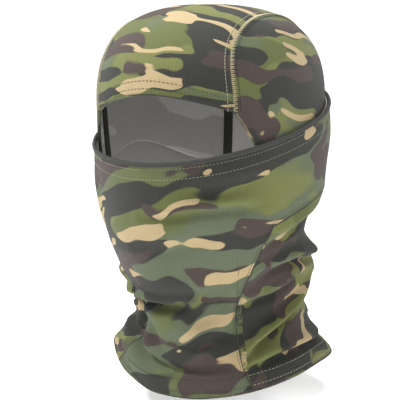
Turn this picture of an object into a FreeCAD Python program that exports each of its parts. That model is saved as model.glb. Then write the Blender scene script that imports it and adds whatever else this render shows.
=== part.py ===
# Camouflage balaclava (hinged face mask): a close hood of three panels inside a face shield and
# neck tube of two panels. Frame: +Z up, face towards -Y, wearer's left towards +X, origin at the
# centre of the neck opening. All sizes are in millimetres and are driven from the sheet "Sizes".
# Every piece is cut from cloth that lies on one head-shaped surface, at its own depth in the
# stack of layers, so each is a free-form patch of even thickness.
import FreeCAD, Part
import math
import os

PARTS_FOLDER = "parts"
LEVELS = ("collar", "flare", "throat", "jaw", "cheek", "ear", "temple")
CROWN_SQUARENESS = 2.6        # exponent of the crown's rounded outline; 2 would be an ellipsoid
CORNER_REACH = 1.2            # furthest that the crown can reach, in half depths
HALVINGS = 40                 # steps of the crown's outline solver
SEWING_TOLERANCE = 0.01
SEAM_CURL = 2.5               # how fast the side seam levels out behind the cheek
LAYER_GAP = 0.1               # between layers that lie on each other in one body
CROWN_SEAM_GAP = 0.3          # from the crown seam to the raw edge of each panel
CORRECTIONS = 12              # steps that bring a surface's control points onto its points
BACK_TOP_TURN = 2.75          # turn over the crown at which a side panel's rear edge ends
HEM_CLEARANCE = 2.0           # between the crown tapes and the brow hem, and at the elastic's ends
CHANNEL_PLAY = 0.1            # round a flat elastic in its channel
NAPE_END = 0.985              # share of the rear seam at which its allowance ends
NEXT_PLACE = 0.02             # step along a side seam that shows which way it runs
SEAM_GAP_ANGLE = 0.004        # radians between the two neck hems at each side seam

SIZES = {
    # girth levels of the hood's outer face: height, half width (X), half depth (Y), shift in Y
    "collar_height": 0.0, "collar_half_width": 80.0, "collar_half_depth": 79.0, "collar_shift": 0.0,
    "flare_height": 25.0, "flare_half_width": 67.0, "flare_half_depth": 69.0, "flare_shift": 0.5,
    "throat_height": 55.0, "throat_half_width": 60.0, "throat_half_depth": 65.5, "throat_shift": 1.0,
    "jaw_height": 92.0, "jaw_half_width": 68.5, "jaw_half_depth": 82.0, "jaw_shift": -7.0,
    "cheek_height": 135.0, "cheek_half_width": 76.5, "cheek_half_depth": 98.0, "cheek_shift": -12.0,
    "ear_height": 180.0, "ear_half_width": 79.5, "ear_half_depth": 103.5, "ear_shift": -13.0,
    "temple_height": 210.0, "temple_half_width": 80.3, "temple_half_depth": 104.5,
    "temple_shift": -13.0, "crown_rise": 72.0,
    # cloth layers, as depths from the hood's outer face
    "cloth_thickness": 1.5, "hem_depth": 4.4, "seam_thread_rise": 0.6, "tape_thickness": 0.9,
    "shield_clearance": 2.2, "ring_thickness": 3.0, "elastic_thickness": 1.1,
    "seam_allowance_thickness": 1.0,
    # the hood's edges
    "brow_height": 217.0, "brow_drop": 12.0, "brow_hem_width": 10.0, "elastic_width": 6.0,
    "brow_corner_height": 205.0, "brow_corner_y": -90.0, "cheek_edge_height": 180.0,
    "cheek_edge_y": -74.0, "opening_hem_width": 5.0, "facing_setback": 26.0, "facing_width": 7.0,
    "facing_foot_rise": 12.0,
    "centre_half_width_brow": 54.0, "centre_half_width_crown": 49.0,
    "centre_half_width_nape": 32.0, "crown_seam_width": 6.0,
    "skirt_depth_side": 25.0, "skirt_depth_nape": 62.0,
    "join_half_angle": 18.0, "join_width": 5.0, "body_gap": 0.3,
    # the shield's top edge and the neck tube
    "shield_front_height": 169.0, "shield_front_y": -118.0, "shield_slope": 15.3,
    "ring_width": 9.0, "side_seam_width": 4.0, "neck_hem_width": 14.0,
    "seam_nape_height": 152.0, "seam_cheek_height": 124.0,
    "seam_angle_collar": 42.0, "seam_angle_flare": 38.0, "seam_angle_throat": 37.5,
    "seam_angle_jaw": 50.0, "seam_angle_cheek": 62.0,
}

os.makedirs(PARTS_FOLDER, exist_ok=True)
doc = FreeCAD.newDocument("balaclava")
sheet = doc.addObject("Spreadsheet::Sheet", "Sizes")
for row, (alias, number) in enumerate(SIZES.items(), start=1):
    sheet.set("A%d" % row, alias)
    sheet.set("B%d" % row, str(number))
    sheet.setAlias("B%d" % row, alias)
doc.recompute()


def size(alias):
    """A driving dimension, read from the sheet."""
    return float(sheet.get(alias))


# ---- the head-shaped surface ---------------------------------------------------------------------

def smooth_between(table, place):
    """Smooth curve through (place, value) pairs, with flat steps kept free of overshoot."""
    places = [p for p, _ in table]
    values = [v for _, v in table]
    if place <= places[0]:
        return values[0]
    if place >= places[-1]:
        return values[-1]
    slopes = [0.0] * len(table)
    for k in range(1, len(table) - 1):
        before = (values[k] - values[k - 1]) / (places[k] - places[k - 1])
        after = (values[k + 1] - values[k]) / (places[k + 1] - places[k])
        slopes[k] = 0.0 if before * after <= 0 else 2 * before * after / (before + after)
    slopes[0] = (values[1] - values[0]) / (places[1] - places[0])
    slopes[-1] = (values[-1] - values[-2]) / (places[-1] - places[-2])
    k = max(i for i in range(len(table) - 1) if places[i] <= place)
    step = places[k + 1] - places[k]
    t = (place - places[k]) / step
    return (
        values[k] * (1 + 2 * t) * (1 - t) ** 2
        + slopes[k] * step * t * (1 - t) ** 2
        + values[k + 1] * t * t * (3 - 2 * t)
        + slopes[k + 1] * step * t * t * (t - 1)
    )


def level_table(what):
    return [(size(level + "_height"), size(level + what)) for level in LEVELS]


HALF_WIDTHS = level_table("_half_width")
HALF_DEPTHS = level_table("_half_depth")
SHIFTS = level_table("_shift")
TEMPLE = size("temple_height")
RISE = size("crown_rise")


def girth(height):
    """Half width, half depth and shift of the surface at a height up to the temples."""
    return tuple(smooth_between(table, height) for table in (HALF_WIDTHS, HALF_DEPTHS, SHIFTS))


def around(angle, level, depth=0.0):
    """A point at an angle from the face (towards the wearer's left) and a level. Levels run as
    heights up to the temples, then on over the crown; depth is measured outwards."""
    half_width, half_depth, shift = girth(min(level, TEMPLE))
    narrowing, height = 1.0, level
    if level > TEMPLE:
        lift = math.sin(min((level - TEMPLE) / RISE, math.pi / 2))
        narrowing = (1.0 - lift ** CROWN_SQUARENESS) ** (1.0 / CROWN_SQUARENESS)
        height = TEMPLE + (RISE + depth) * lift
    return FreeCAD.Vector(
        (half_width + depth) * narrowing * math.sin(angle),
        shift - (half_depth + depth) * narrowing * math.cos(angle),
        height,
    )


def over(x, turn, depth=0.0):
    """A point over the crown: at a width x, and turned from the brow (0) to the nape (pi).
    Below the temples, turn runs on straight down, RISE millimetres to the radian."""
    below = max(-turn, turn - math.pi, 0.0)
    half_width, half_depth, shift = girth(TEMPLE - RISE * below)
    a, b, c = half_width + depth, half_depth + depth, RISE + depth
    across = (x / a) ** 2
    facing = -1.0 if turn < math.pi / 2 else 1.0
    if below > 0.0:
        return FreeCAD.Vector(x, shift + facing * b * math.sqrt(1 - across), TEMPLE - RISE * below)
    low, high = 0.0, CORNER_REACH
    cosine, sine = math.cos(turn), math.sin(turn)
    for _ in range(HALVINGS):
        reach = (low + high) / 2
        inside = across + (reach * cosine) ** 2
        if inside ** (CROWN_SQUARENESS / 2) + (reach * sine) ** CROWN_SQUARENESS < 1:
            low = reach
        else:
            high = reach
    return FreeCAD.Vector(x, shift - b * low * cosine, TEMPLE + c * low * sine)


def place_of(point):
    """Angle and level of a point that lies on the undisplaced surface."""
    height = min(max(point.z, 0.0), TEMPLE + RISE)
    half_width, half_depth, shift = girth(min(height, TEMPLE))
    angle = math.atan2(point.x / half_width, (shift - point.y) / half_depth)
    if height <= TEMPLE:
        return angle, height
    return angle, TEMPLE + math.asin(min(1.0, (height - TEMPLE) / RISE)) * RISE


# ---- the lines that panels and edges follow ------------------------------------------------------

SHIELD_SLOPE = math.tan(math.radians(size("shield_slope")))
CENTRE_WIDTHS = (
    (-0.2, size("centre_half_width_brow")), (0.0, size("centre_half_width_brow")),
    (0.8, size("centre_half_width_crown")), (1.8, size("centre_half_width_crown") - 1.0),
    (3.3, size("centre_half_width_nape")),
)


SEAM_ANGLES = [
    (size(level + "_height"), size("seam_angle_" + level))
    for level in ("collar", "flare", "throat", "jaw")
]
SEAM_ANGLES.append((size("seam_cheek_height"), size("seam_angle_cheek")))


SKIRT_DEPTHS = (
    (0.0, size("skirt_depth_side")), (95.0, size("skirt_depth_side")),
    (150.0, size("skirt_depth_nape")), (180.0, size("skirt_depth_nape")),
)


def shield_edge(angle, drop=0.0):
    """Level of the shield's top edge at an angle round the head, less a drop."""
    level = size("shield_front_height")
    for _ in range(8):
        y = around(angle, level).y
        level = size("shield_front_height") + (y - size("shield_front_y")) * SHIELD_SLOPE - drop
    return level


def centre_half_width(turn):
    return smooth_between(CENTRE_WIDTHS, turn)


def brow_turn(x):
    """Turn of the brow edge at a width x: highest in the middle, lower at its corners."""
    fall = size("brow_drop") * (x / size("centre_half_width_brow")) ** 2
    return (size("brow_height") - fall - TEMPLE) / RISE


def skirt_edge(angle, above=0.0):
    """Level of the hood's lower edge, which is tucked into the tube, or of a line above it."""
    depth = smooth_between(SKIRT_DEPTHS, abs(math.degrees(angle)))
    return shield_edge(angle, depth - above)


def nape_turn(x):
    """Turn of the hood's lower edge at the back."""
    level = skirt_edge(math.pi - math.asin(x / size("temple_half_width")))
    return math.pi + (TEMPLE - level) / RISE


def opening_angle(level, setback=0.0):
    """Angle of the side edge of the face opening at a level, moved back by a distance."""
    lean = (size("cheek_edge_y") - size("brow_corner_y")) / (
        size("brow_corner_height") - size("cheek_edge_height"))
    y = size("brow_corner_y") + (size("brow_corner_height") - level) * lean + setback
    _, half_depth, shift = girth(min(level, TEMPLE))
    return math.acos((shift - y) / half_depth)


def opening_foot():
    """Level at which the opening's side edge meets the hood's tucked-in lower edge."""
    level = size("cheek_edge_height")
    for _ in range(8):
        level = skirt_edge(opening_angle(level))
    return level


def side_seam_front(level):
    """Angle of the side seam's steep stretch, from the collar up to the cheek."""
    return math.radians(smooth_between(SEAM_ANGLES, level))


def side_seam_back(share):
    """Angle and level of the side seam's stretch from the cheek (0) to the nape (1)."""
    start = side_seam_front(size("seam_cheek_height"))
    angle = start + (math.pi - start) * share
    rise = size("seam_nape_height") - size("seam_cheek_height")
    return angle, size("seam_cheek_height") + rise * (1 - (1 - share) ** SEAM_CURL)


# ---- building: sewn solids from patches ----------------------------------------------------------

pieces = []


def piece(name, faces):
    """Sew faces into one closed solid and keep it as a labelled sub-part."""
    shell = Part.makeShell(faces)
    shell.sewShape(SEWING_TOLERANCE)
    solid = Part.makeSolid(shell)
    if solid.Volume < 0:
        solid.reverse()
    feature = doc.addObject("Part::Feature", name)
    feature.Label = name
    feature.Shape = solid
    feature.Placement = FreeCAD.Placement()
    pieces.append(feature)
    return feature


def share(count):
    """Even shares from 0 to 1."""
    return [k / (count - 1) for k in range(count)]


def clamped_knots(count):
    """Degree, even knots and their multiplicities for a curve of so many control points that
    ends on its first and last, and the shares of its length where each point steers most."""
    degree = min(3, count - 1)
    spans = count - degree
    flat = [0.0] * degree + [float(k) for k in range(spans + 1)] + [float(spans)] * degree
    steered = [sum(flat[k + 1:k + degree + 1]) / (degree * spans) for k in range(count)]
    multiplicities = [degree + 1] + [1] * (spans - 1) + [degree + 1]
    return degree, list(range(spans + 1)), multiplicities, steered


def surface_through(point, depth, rows, columns):
    """A smooth surface through a grid of points. Its edges depend on their own points alone, so
    patches with one edge in common meet exactly."""
    u_degree, u_knots, u_times, u_shares = clamped_knots(rows)
    v_degree, v_knots, v_times, v_shares = clamped_knots(columns)
    wanted = [[point(u, v, depth) for v in v_shares] for u in u_shares]
    poles = [[FreeCAD.Vector(spot) for spot in row] for row in wanted]
    surface = Part.BSplineSurface()
    for correction in range(CORRECTIONS + 1):
        surface.buildFromPolesMultsKnots(
            poles, u_times, v_times, u_knots, v_knots, False, False, u_degree, v_degree
        )
        if correction < CORRECTIONS:
            for i, u in enumerate(u_shares):
                for j, v in enumerate(v_shares):
                    reached = surface.value(u * u_knots[-1], v * v_knots[-1])
                    poles[i][j] += wanted[i][j] - reached
    return surface


def patch_faces(point, inner, outer, rows, columns, open_sides=()):
    """Faces of an even sheet between two depths. point(u, v, depth) gives its surface; the sides
    named in open_sides (u0, u1, v0, v1) are left for a neighbouring patch to continue."""
    surfaces = [surface_through(point, depth, rows, columns) for depth in (inner, outer)]
    faces = [surface.toShape() for surface in surfaces]
    sides = {
        "u0": lambda s: s.uIso(s.bounds()[0]), "u1": lambda s: s.uIso(s.bounds()[1]),
        "v0": lambda s: s.vIso(s.bounds()[2]), "v1": lambda s: s.vIso(s.bounds()[3]),
    }
    for name, edge_of in sides.items():
        if name not in open_sides:
            edges = [edge_of(surface).toShape() for surface in surfaces]
            faces.append(Part.makeRuledSurface(*edges))
    return faces


def line_through(points, closed):
    curve = Part.BSplineCurve()
    curve.interpolate(Points=points, PeriodicFlag=closed)
    return curve.toShape()


def bar_faces(outline, stations, closed, tunnel=()):
    """Faces of a bar with a cornered section, and of a tunnel along it. outline and tunnel are
    functions of a station that give the section's corners."""
    faces = []
    loops = []
    for corners_at in (outline, tunnel):
        if corners_at:
            sections = [corners_at(station) for station in stations]
            loops.append(sections)
            count = len(sections[0])
            edges = [line_through([s[k] for s in sections], closed) for k in range(count)]
            for k in range(count):
                faces.append(Part.makeRuledSurface(edges[k], edges[(k + 1) % count]))
    if closed:
        return faces
    for end in (0, -1):
        corners = [sections[end] for sections in loops]
        for k in range(4):
            after = (k + 1) % 4
            if tunnel:
                pairs = [Part.LineSegment(c[k], c[after]).toShape() for c in corners]
                faces.append(Part.makeRuledSurface(*pairs))
        if not tunnel:
            c = corners[0]
            faces.append(Part.makeRuledSurface(
                Part.LineSegment(c[0], c[1]).toShape(), Part.LineSegment(c[3], c[2]).toShape()
            ))
    return faces


def mirrored(point, side):
    """The same sheet on the wearer's left (side 1) or right (side -1)."""
    def moved(u, v, depth):
        spot = point(u, v, depth)
        return FreeCAD.Vector(side * spot.x, spot.y, spot.z)
    return moved


SIDES = (("left", 1), ("right", -1))


# ---- hood: three panels, joined by flatlock seams over the crown ---------------------------------

def hood_panels():
    """Centre panel from brow to nape, and one side panel each side of it."""
    cloth = size("cloth_thickness")
    nape_half_width = size("centre_half_width_nape")

    def centre(u, v, depth):
        x_share = 2 * v - 1
        first, last = brow_turn(x_share * centre_half_width(0.0)), nape_turn(x_share * nape_half_width)
        turn = first + (last - first) * u
        narrowed = (centre_half_width(turn) - CROWN_SEAM_GAP) * (1 + depth / size("temple_half_width"))
        return over(x_share * narrowed, turn, depth)

    piece("hood_centre_panel", patch_faces(centre, -cloth, 0.0, 29, 13))
    for name, side in SIDES:
        piece("hood_side_panel_" + name, patch_faces(mirrored(side_sheet, side), -cloth, 0.0, 21, 13))


def seam_point(turn, beside):
    """Angle and level of a point beside the crown seam."""
    return place_of(over(centre_half_width(turn) + beside, turn))


def side_sheet(u, v, depth):
    """The left side panel: u from the opening edge to the nape, v from the lower edge upwards."""
    first = brow_turn(centre_half_width(0.0))
    last = nape_turn(size("centre_half_width_nape"))
    foot = opening_foot()
    corner = seam_point(first, CROWN_SEAM_GAP)
    front = (opening_angle(foot + (corner[1] - foot) * v), foot + (corner[1] - foot) * v)
    back = seam_point(last + (BACK_TOP_TURN - last) * v, CROWN_SEAM_GAP)
    top = seam_point(first + (BACK_TOP_TURN - first) * u, CROWN_SEAM_GAP)
    low_back = seam_point(last, CROWN_SEAM_GAP)
    low_angle = opening_angle(foot) + (low_back[0] - opening_angle(foot)) * u
    low = (low_angle, skirt_edge(low_angle))
    low_front = (opening_angle(foot), foot)
    top_back = seam_point(BACK_TOP_TURN, CROWN_SEAM_GAP)
    place = []
    for k in (0, 1):
        along = (1 - v) * low[k] + v * top[k]
        across = (1 - u) * front[k] + u * back[k]
        corners = (
            (1 - u) * (1 - v) * low_front[k] + u * (1 - v) * low_back[k]
            + (1 - u) * v * corner[k] + u * v * top_back[k]
        )
        place.append(along + across - corners)
    return around(place[0], place[1], depth)


def crown_seams():
    """Flatlock thread bands outside, down into the tube, and the cover tape of the same seams
    inside, down to the hood's lower edge."""
    half_seam = size("crown_seam_width") / 2
    inside = -size("cloth_thickness") - LAYER_GAP
    nape_half_width = size("centre_half_width_nape")
    nape_angle = math.pi - math.asin(nape_half_width / size("temple_half_width"))
    tucked = shield_edge(nape_angle, size("skirt_depth_side"))
    first = brow_turn(centre_half_width(0.0))
    clear_of_hem = first + (size("brow_hem_width") + HEM_CLEARANCE) / RISE

    def seam_strip(start, end):
        def strip(u, v, depth):
            turn = start + (end - start) * u
            return over(centre_half_width(turn) + (2 * v - 1) * half_seam, turn, depth)
        return strip

    for name, side in SIDES:
        thread = mirrored(seam_strip(first, math.pi + (TEMPLE - tucked) / RISE), side)
        tape = mirrored(seam_strip(clear_of_hem, nape_turn(nape_half_width)), side)
        piece("crown_seam_" + name, patch_faces(
            thread, LAYER_GAP, size("seam_thread_rise"), 25, 3))
        piece("crown_tape_" + name, patch_faces(
            tape, inside - size("tape_thickness"), inside, 29, 3))


def brow_edge():
    """The centre panel's front edge, turned in to a channel with a flat elastic in it."""
    outside = -size("cloth_thickness") - LAYER_GAP
    inside = -size("hem_depth")
    width = size("brow_hem_width")
    elastic = size("elastic_thickness")
    middle = (outside + inside) / 2
    reach = centre_half_width(0.0) - 0.5

    def section(low, high, inner, outer, half_width):
        def corners(place):
            x = (2 * place - 1) * half_width
            turns = [brow_turn(x) + up / RISE for up in (low, high)]
            return [over(x, turns[0], inner), over(x, turns[0], outer),
                    over(x, turns[1], outer), over(x, turns[1], inner)]
        return corners

    side_room = (width - size("elastic_width")) / 2
    strip = section(side_room, width - side_room, middle - elastic / 2, middle + elastic / 2,
                    reach - HEM_CLEARANCE)
    channel = section(side_room - 2 * CHANNEL_PLAY, width - side_room + 2 * CHANNEL_PLAY,
                      middle - elastic / 2 - CHANNEL_PLAY, middle + elastic / 2 + CHANNEL_PLAY,
                      reach)
    outline = section(0.0, width, inside, outside, reach)
    piece("brow_hem", bar_faces(outline, share(17), False, channel))
    piece("brow_elastic", bar_faces(strip, share(17), False))


def opening_edges():
    """Turned-in side hems of the face opening, and the overlocked edge of their facings."""
    inside = -size("cloth_thickness") - LAYER_GAP
    foot = opening_foot()

    def strip(setback, width, low, high):
        def sheet_point(u, v, depth):
            level = low + (high - low) * u
            return around(opening_angle(level, setback + width * v), level, depth)
        return sheet_point

    top = size("brow_corner_height") - size("facing_width")
    hem = strip(0.0, size("opening_hem_width"), foot, top)
    facing = strip(size("facing_setback"), size("facing_width"), foot + size("facing_foot_rise"),
                   top + size("facing_width"))
    for name, side in SIDES:
        piece("opening_hem_" + name, patch_faces(
            mirrored(hem, side), inside - size("cloth_thickness"), inside, 9, 3))
        piece("opening_facing_" + name, patch_faces(
            mirrored(facing, side), inside - size("tape_thickness"), inside, 9, 3))


# ---- neck tube: the face panel wraps the head, the nape panel closes the back of the neck --------

def tube_panels():
    """Face panel: a band right round the head and the front of the neck, in one piece. Nape
    panel: the back of the neck, up to the curved seam under the back of the head."""
    inner = size("shield_clearance")
    outer = inner + size("cloth_thickness")
    ring_foot = size("ring_width") + size("body_gap")
    cheek = size("seam_cheek_height")
    seam_angle = side_seam_front(cheek)

    def front_band(u, v, depth):
        angle = (2 * u - 1) * seam_angle
        return around(angle, cheek + (shield_edge(angle, ring_foot) - cheek) * v, depth)

    def side_band(u, v, depth):
        angle, low = side_seam_back(u)
        return around(angle, low + (shield_edge(angle, ring_foot) - low) * v, depth)

    def front_neck(u, v, depth):
        level = cheek * v
        return around((2 * u - 1) * side_seam_front(level), level, depth)

    faces = patch_faces(front_band, inner, outer, 13, 7, ("u0", "u1", "v0"))
    faces += patch_faces(front_neck, inner, outer, 13, 13, ("v1",))
    for _, side in SIDES:
        faces += patch_faces(mirrored(side_band, side), inner, outer, 17, 7, ("u0", "u1"))
    piece("face_panel", faces)

    def half_nape(u, v, depth):
        top_angle, top_level = side_seam_back(u)
        low_start = side_seam_front(0.0)
        low_angle = low_start + (math.pi - low_start) * u
        bow = side_seam_front(cheek * v) - (1 - v) * low_start - v * seam_angle
        angle = (1 - v) * low_angle + v * top_angle + (1 - u) * bow
        return around(angle, top_level * v, depth)

    halves = []
    for _, side in SIDES:
        halves += patch_faces(mirrored(half_nape, side), inner, outer, 17, 13, ("u1",))
    piece("nape_panel", halves)


def side_seams():
    """Overlocked seam allowance inside the tube, one on each side, from hem to nape."""
    outside = size("shield_clearance") - LAYER_GAP
    inside = outside - size("seam_allowance_thickness")
    half_seam = size("side_seam_width") / 2
    low = size("neck_hem_width") + 1.0
    cheek = size("seam_cheek_height")

    def centre_line(place):
        """From the neck hem (0) to the cheek (1) and on to the nape (2)."""
        if place < 1.0:
            level = low + (cheek - low) * place
            return side_seam_front(level), level
        return side_seam_back(NAPE_END * (place - 1.0))

    def strip(place, v, depth):
        step = NEXT_PLACE
        first, last = centre_line(max(place - step, 0.0)), centre_line(min(place + step, 2.0))
        angle, level = centre_line(place)
        half_width, half_depth, _ = girth(level)
        radius = math.hypot(half_width * math.cos(angle), half_depth * math.sin(angle))
        round_step, rise = (last[0] - first[0]) * radius, last[1] - first[1]
        across = (2 * v - 1) * half_seam / math.hypot(round_step, rise)
        return around(angle + across * rise / radius, level - across * round_step, depth)

    def lower(u, v, depth):
        return strip(u, v, depth)

    def upper(u, v, depth):
        return strip(1.0 + u, v, depth)

    for name, side in SIDES:
        faces = patch_faces(mirrored(lower, side), inside, outside, 13, 3, ("u1",))
        faces += patch_faces(mirrored(upper, side), inside, outside, 17, 3, ("u0",))
        piece("side_seam_" + name, faces)


def neck_hems():
    """The tube's lower edge, turned up inside and sewn down with two rows of stitches."""
    outside = size("shield_clearance") - LAYER_GAP
    inside = outside - size("cloth_thickness")
    width = size("neck_hem_width")

    def front(u, v, depth):
        level = width * v
        return around((2 * u - 1) * (side_seam_front(level) - SEAM_GAP_ANGLE), level, depth)

    def rear(u, v, depth):
        level = width * v
        start = side_seam_front(level) + SEAM_GAP_ANGLE
        return around(start + (2 * math.pi - 2 * start) * u, level, depth)

    piece("neck_hem_front", patch_faces(front, inside, outside, 13, 3))
    piece("neck_hem_rear", patch_faces(rear, inside, outside, 29, 3))


def hood_join():
    """The stitched join at the nape that holds the hood's rear edge inside the tube."""
    half_angle = math.radians(size("join_half_angle"))

    def join(u, v, depth):
        angle = math.pi + (2 * u - 1) * half_angle
        return around(angle, skirt_edge(angle, size("join_width") * v), depth)

    piece("hood_join_seam", patch_faces(
        join, size("body_gap"), size("shield_clearance") - LAYER_GAP, 9, 3))


# ---- shield ring: the face shield's rolled top edge with its elastic -----------------------------

def shield_ring():
    """A folded edge right round the head, with a flat elastic lying in its channel."""
    inside = size("shield_clearance")
    outside = inside + size("ring_thickness")
    middle = (inside + outside) / 2
    elastic = size("elastic_thickness")
    side_room = (size("ring_width") - size("elastic_width")) / 2

    def section(corners):
        """Section corners, each given as a drop below the top edge and a depth."""
        def corners_at(place):
            angle = 2 * math.pi * place
            return [around(angle, shield_edge(angle, drop), depth) for drop, depth in corners]
        return corners_at

    count = 36
    stations = [k / count for k in range(count)]
    width = size("ring_width")
    foot = width - side_room
    play = CHANNEL_PLAY
    thin, thick = middle - elastic / 2, middle + elastic / 2
    strip = section(((foot, thin), (foot, thick), (side_room, thick), (side_room, thin)))
    fold = section((
        (width, inside), (0.0, inside), (0.0, outside), (width, outside), (width, thick + play),
        (side_room - play, thick + play), (side_room - play, thin - play), (width, thin - play),
    ))
    piece("shield_top_hem", bar_faces(fold, stations, True))
    piece("shield_elastic", bar_faces(strip, stations, True))


hood_panels()
crown_seams()
brow_edge()
opening_edges()
tube_panels()
side_seams()
neck_hems()
hood_join()
shield_ring()

# ---- checks and export ---------------------------------------------------------------------------

doc.recompute()
faults = [item.Name for item in doc.Objects if {"Invalid", "Error"} & set(item.State)]
for item in pieces:
    shape = item.Shape
    print("%-26s %2d solid(s) %9.1f mm3 %s" % (
        item.Label, len(shape.Solids), shape.Volume, shape.isValid()))
    if shape.isNull() or not shape.isValid() or shape.Volume <= 0 or len(shape.Solids) != 1:
        faults.append(item.Label)
if faults:
    raise RuntimeError("these features failed: %s" % ", ".join(faults))
for item in pieces:
    item.Shape.exportStep(os.path.join(PARTS_FOLDER, item.Label + ".step"))
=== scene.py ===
# Camouflage balaclava: a close stretch-knit hood with a brow hem, and over it a face shield that
# runs down into a neck tube. Sections follow the order in which the mask is put together.
import math

import bmesh
import bpy
import numpy as np
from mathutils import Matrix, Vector


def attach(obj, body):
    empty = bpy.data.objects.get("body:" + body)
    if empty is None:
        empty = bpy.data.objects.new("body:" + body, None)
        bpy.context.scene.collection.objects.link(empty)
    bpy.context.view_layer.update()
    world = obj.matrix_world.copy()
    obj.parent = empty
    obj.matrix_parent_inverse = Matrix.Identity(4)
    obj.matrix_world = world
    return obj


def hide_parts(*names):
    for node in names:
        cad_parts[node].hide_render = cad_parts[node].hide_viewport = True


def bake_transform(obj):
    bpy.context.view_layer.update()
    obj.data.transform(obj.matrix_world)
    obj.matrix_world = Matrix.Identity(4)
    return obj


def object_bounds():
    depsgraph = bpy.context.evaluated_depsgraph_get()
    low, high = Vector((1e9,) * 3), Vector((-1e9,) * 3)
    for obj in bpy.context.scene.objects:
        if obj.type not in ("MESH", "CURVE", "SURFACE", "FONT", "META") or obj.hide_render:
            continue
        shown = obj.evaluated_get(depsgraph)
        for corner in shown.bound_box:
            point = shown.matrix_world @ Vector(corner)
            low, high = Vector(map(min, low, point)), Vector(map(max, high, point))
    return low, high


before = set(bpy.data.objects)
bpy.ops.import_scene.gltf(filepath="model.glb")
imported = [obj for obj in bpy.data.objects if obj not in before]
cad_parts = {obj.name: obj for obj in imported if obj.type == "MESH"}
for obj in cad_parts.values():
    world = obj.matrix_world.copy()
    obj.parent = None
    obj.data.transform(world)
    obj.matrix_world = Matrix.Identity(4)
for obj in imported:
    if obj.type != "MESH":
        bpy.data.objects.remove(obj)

CAD_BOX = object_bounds()

# ---- Studio: a pale floor, soft light from the front left and above, and the camera ----
# The mask stands as if worn, and is seen from a little above and from the wearer's left. A small
# lamp inside it stands for the light that comes through the knit.

scene = bpy.context.scene
scene.view_settings.view_transform = "Standard"
world = bpy.data.worlds.new("studio")
scene.world = world
world.use_nodes = True
sky = world.node_tree.nodes["Background"]
sky.inputs["Color"].default_value = (1.0, 1.0, 1.0, 1.0)
sky.inputs["Strength"].default_value = 0.18

CAMERA_AZIMUTH = math.radians(27.0)
CAMERA_ELEVATION = math.radians(6.0)
CAMERA_DISTANCE = 0.90
CAMERA_TARGET = Vector((-0.0142, -0.0072, 0.134))
camera = bpy.data.objects.new("camera", bpy.data.cameras.new("camera"))
scene.collection.objects.link(camera)
camera.location = CAMERA_TARGET + CAMERA_DISTANCE * Vector((
    math.sin(CAMERA_AZIMUTH) * math.cos(CAMERA_ELEVATION),
    -math.cos(CAMERA_AZIMUTH) * math.cos(CAMERA_ELEVATION),
    math.sin(CAMERA_ELEVATION),
))
camera.rotation_euler = (CAMERA_TARGET - camera.location).to_track_quat("-Z", "Y").to_euler()
camera.data.lens = 105.0
scene.camera = camera


def soft_light(name, place, size, power):
    """A square lamp that points at the middle of the mask."""
    light = bpy.data.lights.new(name, "AREA")
    light.size = size
    light.energy = power
    lamp = bpy.data.objects.new(name, light)
    lamp.location = place
    lamp.rotation_euler = (Vector((0, 0, 0.15)) - Vector(place)).to_track_quat("-Z", "Y").to_euler()
    scene.collection.objects.link(lamp)


soft_light("key", (-0.8, -0.6, 1.3), 0.35, 34.0)
soft_light("fill", (1.3, -0.5, 0.7), 0.7, 8.0)
soft_light("top", (0.15, 0.0, 1.5), 0.5, 22.0)
soft_light("inside", (0.0, -0.02, 0.11), 0.06, 0.045)


def new_material(name):
    """A material with nodes, and its shader."""
    material = bpy.data.materials.new(name)
    material.use_nodes = True
    return material, material.node_tree.nodes["Principled BSDF"]


def studio_floor():
    """A wide round floor that curves up into a low wall all round."""
    reach, bend, top = 3.0, 0.8, 1.2
    steps, sides = 12, 72
    pinhole, below_hem = 0.001, 0.012
    profile = [(pinhole, 0.0), (reach - bend, 0.0)]
    for k in range(1, steps + 1):
        turn = math.pi / 2 * k / steps
        profile.append((reach - bend + bend * math.sin(turn), bend - bend * math.cos(turn)))
    profile.append((reach, top))
    low = CAD_BOX[0][2] - below_hem
    mesh = bpy.data.meshes.new("floor")
    directions = [2 * math.pi * side / sides for side in range(sides)]
    verts = [
        (r * math.cos(way), r * math.sin(way), z + low) for way in directions for r, z in profile
    ]
    count = len(profile)
    faces = []
    for side in range(sides):
        here, beyond = side * count, (side + 1) % sides * count
        faces += [(here + k, beyond + k, beyond + k + 1, here + k + 1) for k in range(count - 1)]
    mesh.from_pydata(verts, [], faces)
    floor = bpy.data.objects.new("floor", mesh)
    white, glow = new_material("floor_white")
    glow.inputs["Base Color"].default_value = (0.9, 0.9, 0.9, 1.0)
    glow.inputs["Roughness"].default_value = 0.8
    glow.inputs["Emission Color"].default_value = (1.0, 1.0, 1.0, 1.0)
    glow.inputs["Emission Strength"].default_value = 0.42
    mesh.materials.append(white)
    for polygon in mesh.polygons:
        polygon.use_smooth = True
    scene.collection.objects.link(floor)


studio_floor()

# ---- The form that all the cloth lies on ----
# The knit takes the wearer's shape: girths from collar to temples, then a rounded crown. Angles run
# from the face round to the wearer's left; levels are heights, then carry on over the crown.

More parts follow.
